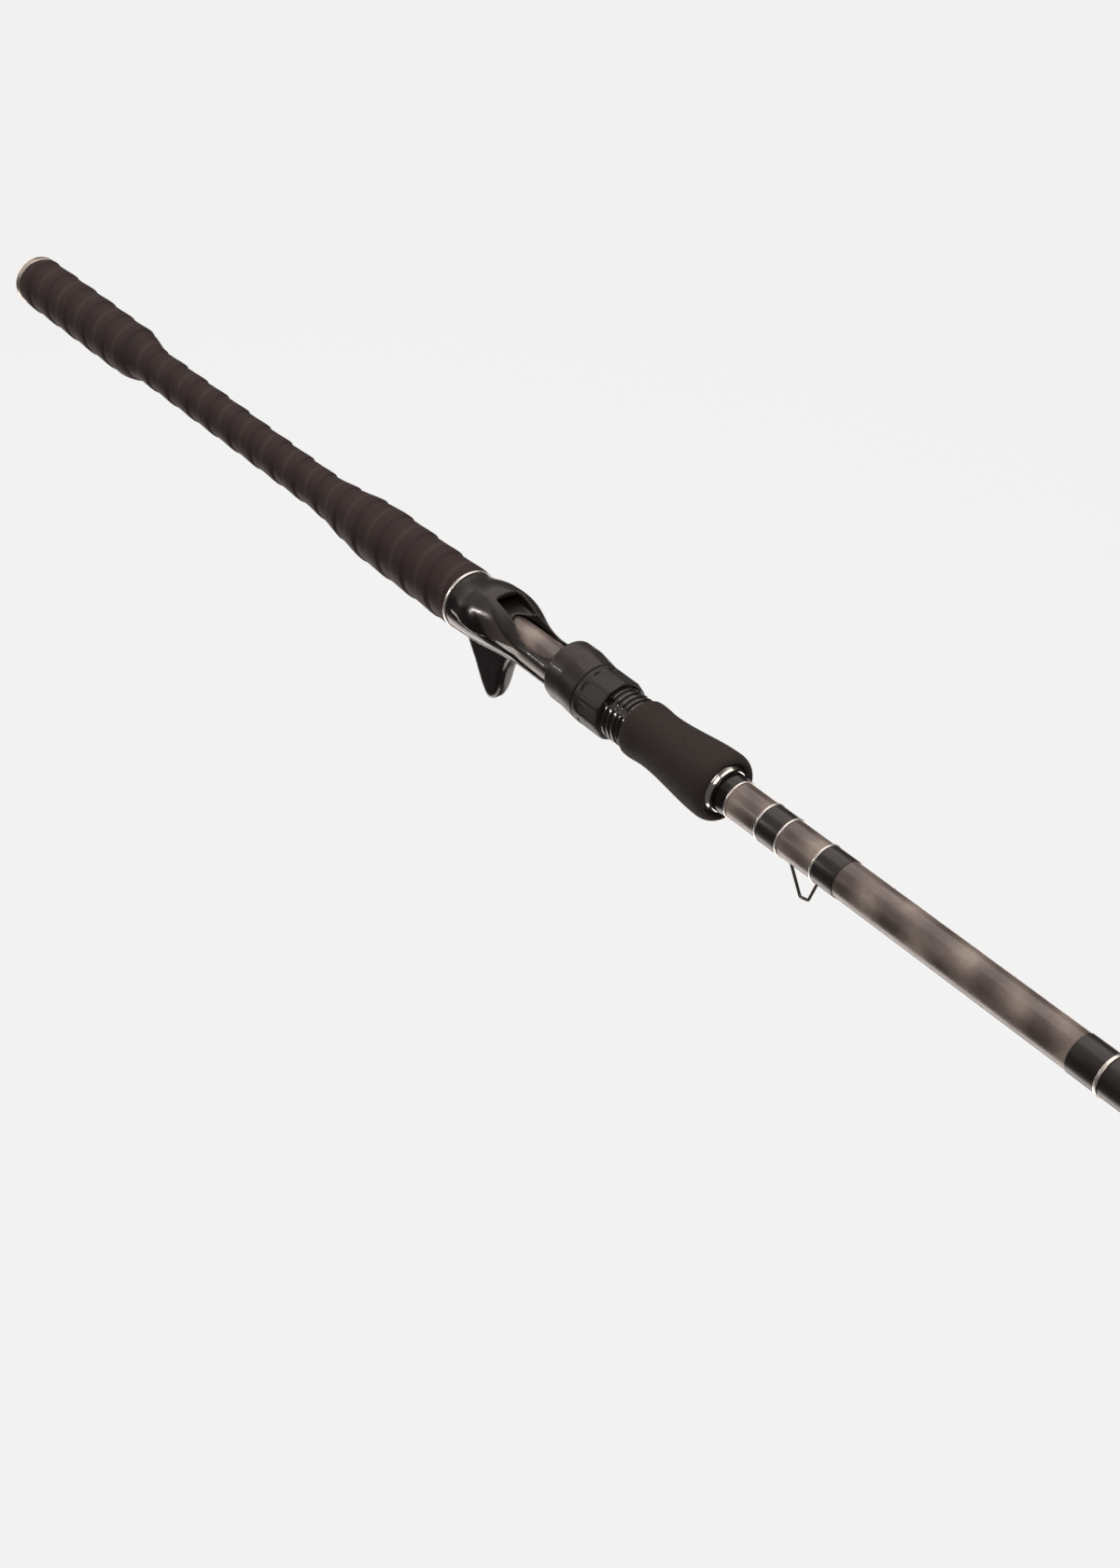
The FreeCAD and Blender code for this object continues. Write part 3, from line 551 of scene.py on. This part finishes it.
# %% Seat body
seat = remeshed(merged_copy("reel_seat"), 0.55)
sawn(seat, SEAT_SPLIT, -1)
relax(seat, 3)
seat.normal_update()
strip = seat.verts.layers.float.new("strip")
polish = seat.verts.layers.float.new("polish")
moves = []
for v in seat.verts:
    x = v.co.x / MM - SEAT_START
    radial = Vector((0, v.co.y, v.co.z))
    r = radial.length / MM
    outward = v.normal.dot(radial.normalized())
    angle = math.degrees(math.atan2(abs(v.co.y), v.co.z))
    low = crease_angle(x) + rise(x, 5, 12, 14, 0)
    # 1 where the side and the trigger are glossier and get the painted shade.
    v[polish] = rise(math.radians(angle - low) * r, 0.0, rise(x, 12, 20, 5.0, 1.2), 0.0, 1.0)
    if outward < 0.25 or r < 9.3 or not 10 < x < 84 or angle > 135:
        continue
    below, width = math.radians(angle - crease_angle(x)) * r, strip_width(x)
    before_hood = rise(x, 64, 71, 1.0, 0.0)
    across = rise(below, -0.1, 0.5, 0.0, 1.0) * rise(below, width * 0.75, width, 1.0, 0.0)
    # Where the pale painted reflection goes on the strip, faded in towards the rear.
    v[strip] = across * rise(x, 12, 17, 0.0, 1.0) * before_hood * rise(x, 20, 50, 0.16, 1.0)
    cut = rise(x, 12, 32, 0.0, 1.0) * before_hood * rise(angle, 120, 135, 1.0, 0.0)
    moves.append((v, radial.normalized() * (cut * strip_step(below, x) * MM)))
for v, move in moves:
    v.co += move
relax(seat, 1)
stand_for(seat, "seat_moulding", "reel_seat", sharp=180)


# %% [markdown]
# The threaded barrel is another spiral, so it uses the same sweep as the tape, with rows on the thread's root,
# flanks and rounded crest. It starts on a whole half pitch, which puts it in step with the CAD's thread and so with
# the nut's. Two keyways run along it, where the hood's keys slide.

# %% Threaded barrel
THREAD_PITCH, THREAD_ROOT, THREAD_CREST, KEYWAY_FLOOR = 3.0, 10.7, 11.8, 10.3
THREAD_ROWS = (0.0, 0.09, 0.17, 0.21, 0.26, 0.31, 0.35, 0.42, 0.5, 0.58, 0.65, 0.69, 0.74, 0.79, 0.83, 0.91)


def threaded(x, angle, place):
    height = rise(place, 0.17, 0.35, 0.0, 1.0) * rise(place, 0.65, 0.83, 1.0, 0.0)
    height *= rise(x, 460.9, 461.6, 0.0, 1.0) * rise(x, 499.0, 499.8, 1.0, 0.0)
    off_key = min(abs(angle - math.radians(a)) for a in (45, 135)) * THREAD_ROOT
    sunk = rise(off_key, 1.1, 1.5, 1.0, 0.0)
    thread = THREAD_ROOT + (THREAD_CREST - THREAD_ROOT) * height
    return thread * (1 - sunk) + KEYWAY_FLOOR * sunk - rise(x, SEAT_END - 0.5, SEAT_END, 0, 0.3)


barrel = spiral_tube(SEAT_SPLIT - 0.5, SEAT_END, THREAD_PITCH, THREAD_ROWS, 112, threaded, 1.3)
stand_for(barrel, "seat_threaded_barrel", "reel_seat", sharp=50,
          finish=seat_finish("thread_gloss", (0.020, 0.016, 0.014), 0.24, 0.6))


# %% [markdown]
# ## Movable hood and lock nut
# Both are small mouldings with sharp seams in the CAD. The same softening gives the seam between them two rounded
# lips. They are satin rather than glossy, and a little paler than the seat.

# %% Hood and nut
hood = remeshed(merged_copy("movable_hood"), 0.3)
relax(hood, 3)
satin = seat_finish("hood_satin", (0.023, 0.0172, 0.0155), 0.40, 0.05)
stand_for(hood, "hood_moulding", "movable_hood", sharp=180, finish=satin)
nut = remeshed(merged_copy("lock_nut"), 0.3)
relax(nut, 2)
satin = seat_finish("nut_satin", (0.020, 0.0155, 0.014), 0.46, 0.0)
stand_for(nut, "nut_moulding", "lock_nut", sharp=180, finish=satin)


# %% [markdown]
# ## Fore grip and checks
# The fore grip is turned foam with a cup in its front end. A bright tapered check sits in the cup, and a black
# sleeve runs out of it on to the blank.

# %% Fore grip
start, end, crown_r = span("fore_grip")
cup_start = span("fore_check_flange")[0]
rear_r, waist_r, cup_r = 13.0, 12.4, 11.5
skin = [(start, rear_r - 1.2), (start + 0.35, rear_r - 0.45), (start + 1.2, rear_r - 0.1)]
x = start + 3.0
while x < end - 5.0:
    r = rise(x, start + 3, start + 12.2, rear_r, waist_r) if x < start + 12.2 else \
        rise(x, start + 12.2, end - 5.0, waist_r, crown_r)
    skin.append((x, r))
    x += 1.0
lip = [(end - 5.0 + 5.0 * math.sin(a), crown_r - (crown_r - cup_r - 1.3) * (1 - math.cos(a)))
       for a in (math.pi / 2 * k / 12 for k in range(13))]
cup = [(end - 0.25, cup_r + 0.95), (end - 1.2, cup_r + 0.5), (cup_start, cup_r), (cup_start, blank_r),
       (start, blank_r)]
fore = spun(skin + lip + cup, 128)
for v in fore.verts:
    r = math.hypot(v.co.y, v.co.z)
    if r > 12 * MM:
        swell = 1 + 0.006 * noise.noise(v.co * 90)
        v.co.y *= swell
        v.co.z *= swell
stand_for(fore, "fore_grip_foam", "fore_grip", sharp=60)

start, end, radius = span("fore_check_flange")
sleeve_r = span("fore_check_sleeve")[2]
taper = [(x, rise(x, start + 0.8, end, radius, sleeve_r + 0.4))
         for x in (start + 0.8 + (end - start - 0.8) * k / 14 for k in range(15))]
check = [(start, blank_r), (start, radius - 0.3), (start + 0.25, radius)] + taper + [(end, blank_r)]
stand_for(spun(check, 128), "bright_check_turned", "fore_check_flange", sharp=40)

start, end, radius = span("fore_check_sleeve")
taper = [(x, rise(x, start + 2, end - 0.3, radius, blank_r + 0.5))
         for x in (start + 2 + (end - start - 2.3) * k / 10 for k in range(11))]
sleeve = [(start, blank_r), (start, radius)] + taper + [(end, blank_r + 0.25), (end, blank_r)]
stand_for(spun(sleeve, 128), "black_sleeve_turned", "fore_check_sleeve", sharp=40)


# %% [markdown]
# ## Trims and thread wraps
# A wrap is thread under epoxy: it swells a little in the middle and runs out thin at its ends. Where the keeper's
# foot lies under it, at the bottom of the blank, it lifts into a saddle. The lift is the outline of the foot's
# circle seen from the rod's axis, blended into the band.

# %% Bands round the handle blank
KEEPER_R = 0.65
KEEPER_LIE = 8.85


def lift_over_foot(bm, cover):
    """Raises the bottom of a band over the keeper's foot."""
    for v in bm.verts:
        r = math.hypot(v.co.y, v.co.z) / MM
        aside = v.co.y / MM
        if v.co.z > 0 or r < blank_r + 0.05 or abs(aside) > 3.2:
            continue
        hump = KEEPER_LIE + math.sqrt(max(0.0, (KEEPER_R + cover) ** 2 - min(aside ** 2, (KEEPER_R + cover) ** 2)))
        share = rise(abs(aside), 0.5, 2.6, 1.0, 0.0)
        r_new = max(r, r + (hump - r) * share)
        v.co.y *= r_new / r
        v.co.z *= r_new / r


def band(name, node, rounding, over_foot=False):
    start, end, _ = span(node)
    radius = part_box(node)[1].z / MM
    corners = [(start, blank_r), (start, radius), (end, radius), (end, blank_r)]
    bm = spun(soften(corners, [0, rounding, rounding, 0], 6), 192)
    if over_foot:
        lift_over_foot(bm, radius - blank_r)
    return stand_for(bm, name, node, sharp=50)


for number in (1, 2, 3, 4):
    band("trim_bead_%d" % number, "trim_ring_%d" % number, 0.5, number > 2)
band("keeper_wrap_rear_coated", "keeper_wrap_rear", 0.28, True)
band("keeper_wrap_front_coated", "keeper_wrap_front", 0.28, True)
band("ferrule_wrap_coated", "ferrule_wrap", 0.28)
band("ferrule_ring_turned", "ferrule_ring", 0.35)


# %% [markdown]
# ## Light, floor and camera
# A dark object is drawn by what it reflects. The floor is only a pale backdrop that nothing mirrors. The soft panels
# do the work: one overhead shapes the top, one above the butt fills the near side and the metal rings, one low
# behind rims the edges, one underneath lights the strip and the undersides, one past the butt is what the cap
# mirrors, and one ahead fills what faces the tip. A small bright one puts a glint on each ring. Nothing stands where
# the trigger's side would mirror it, so the trigger stays black.

# %% Studio
def panel(name, place, aim, size, radiance):
    """Rectangular soft light, its first size along the rod. Its power follows from how bright its face is."""
    light = bpy.data.lights.new(name, "AREA")
    light.shape, light.size, light.size_y = "RECTANGLE", *size
    light.energy = radiance * math.pi * size[0] * size[1]
    light.color = (1.0, 0.91, 0.86)
    lamp = bpy.data.objects.new(name, light)
    back = (Vector(place) - Vector(aim)).normalized()
    along = (Vector((1, 0, 0)) - back * back.x).normalized()
    turn = Matrix((along, back.cross(along), back)).transposed()
    lamp.matrix_world = Matrix.Translation(place) @ turn.to_4x4()
    lamp.visible_camera = False
    bpy.context.scene.collection.objects.link(lamp)


def studio():
    world = bpy.data.worlds.new("pale_room")
    world.use_nodes = True
    world.node_tree.nodes["Background"].inputs["Color"].default_value = (0.96, 0.93, 0.90, 1)
    world.node_tree.nodes["Background"].inputs["Strength"].default_value = 0.09
    bpy.context.scene.world = world
    bpy.context.scene.view_settings.view_transform = "Standard"
    panel("overhead", (0.0, 0.9, 1.7), (0.0, 0.9, 0), (3.4, 2.6), 1.35)
    panel("side_card", (-1.1, -0.65, 1.15), (0.2, 0, 0), (3.6, 1.8), 0.42)
    panel("low_behind", (-1.6, 1.6, -0.85), (-1.6, 1.6, 1), (7.5, 2.0), 1.9)
    panel("strip_below", (-0.15, -0.06, -0.8), (-0.15, -0.06, 0), (2.0, 0.56), 2.5)
    panel("butt_card", (-1.8, 0.22, -0.18), (0, 0, 0), (1.6, 1.2), 0.9)
    panel("glint", (-0.53, -1.19, 0.42), (0.42, 0, 0), (0.09, 0.09), 110)
    panel("front_fill", (1.6, -1.2, 1.5), (0.45, 0, 0), (1.2, 1.2), 3.0)
    bm = bmesh.new()
    bmesh.ops.create_grid(bm, x_segments=1, y_segments=1, size=60)
    bmesh.ops.translate(bm, vec=(0, 0, -0.9), verts=bm.verts)
    mesh = bpy.data.meshes.new("floor")
    bm.to_mesh(mesh)
    bm.free()
    floor = bpy.data.objects.new("floor", mesh)
    bpy.context.scene.collection.objects.link(floor)
    floor.visible_glossy = floor.visible_diffuse = False
    pale = Finish("pale_floor", (0.05, 0.05, 0.05), 1.0, Specular_IOR_Level=0.0,
                  Emission_Color=(1.0, 1.0, 1.0, 1), Emission_Strength=0.86)
    mesh.materials.append(pale.material)


def camera():
    """A long lens ahead of the rod's handle, above it and to its right, rolled so that the rod runs downhill."""
    data = bpy.data.cameras.new("view")
    data.sensor_width, data.lens = 36, 62.1
    data.clip_start, data.clip_end = 0.05, 200
    eye = bpy.data.objects.new("view", data)
    place, aim, roll = Vector((1.182, -0.6671, 0.5799)), Vector((0.5191, -0.0567, 0)), math.radians(7.69)
    back = place - aim
    eye.matrix_world = (Matrix.Translation(place) @ back.to_track_quat("Z", "Y").to_matrix().to_4x4()
                        @ Matrix.Rotation(roll, 4, "Z"))
    bpy.context.scene.collection.objects.link(eye)
    bpy.context.scene.camera = eye


studio()
camera()
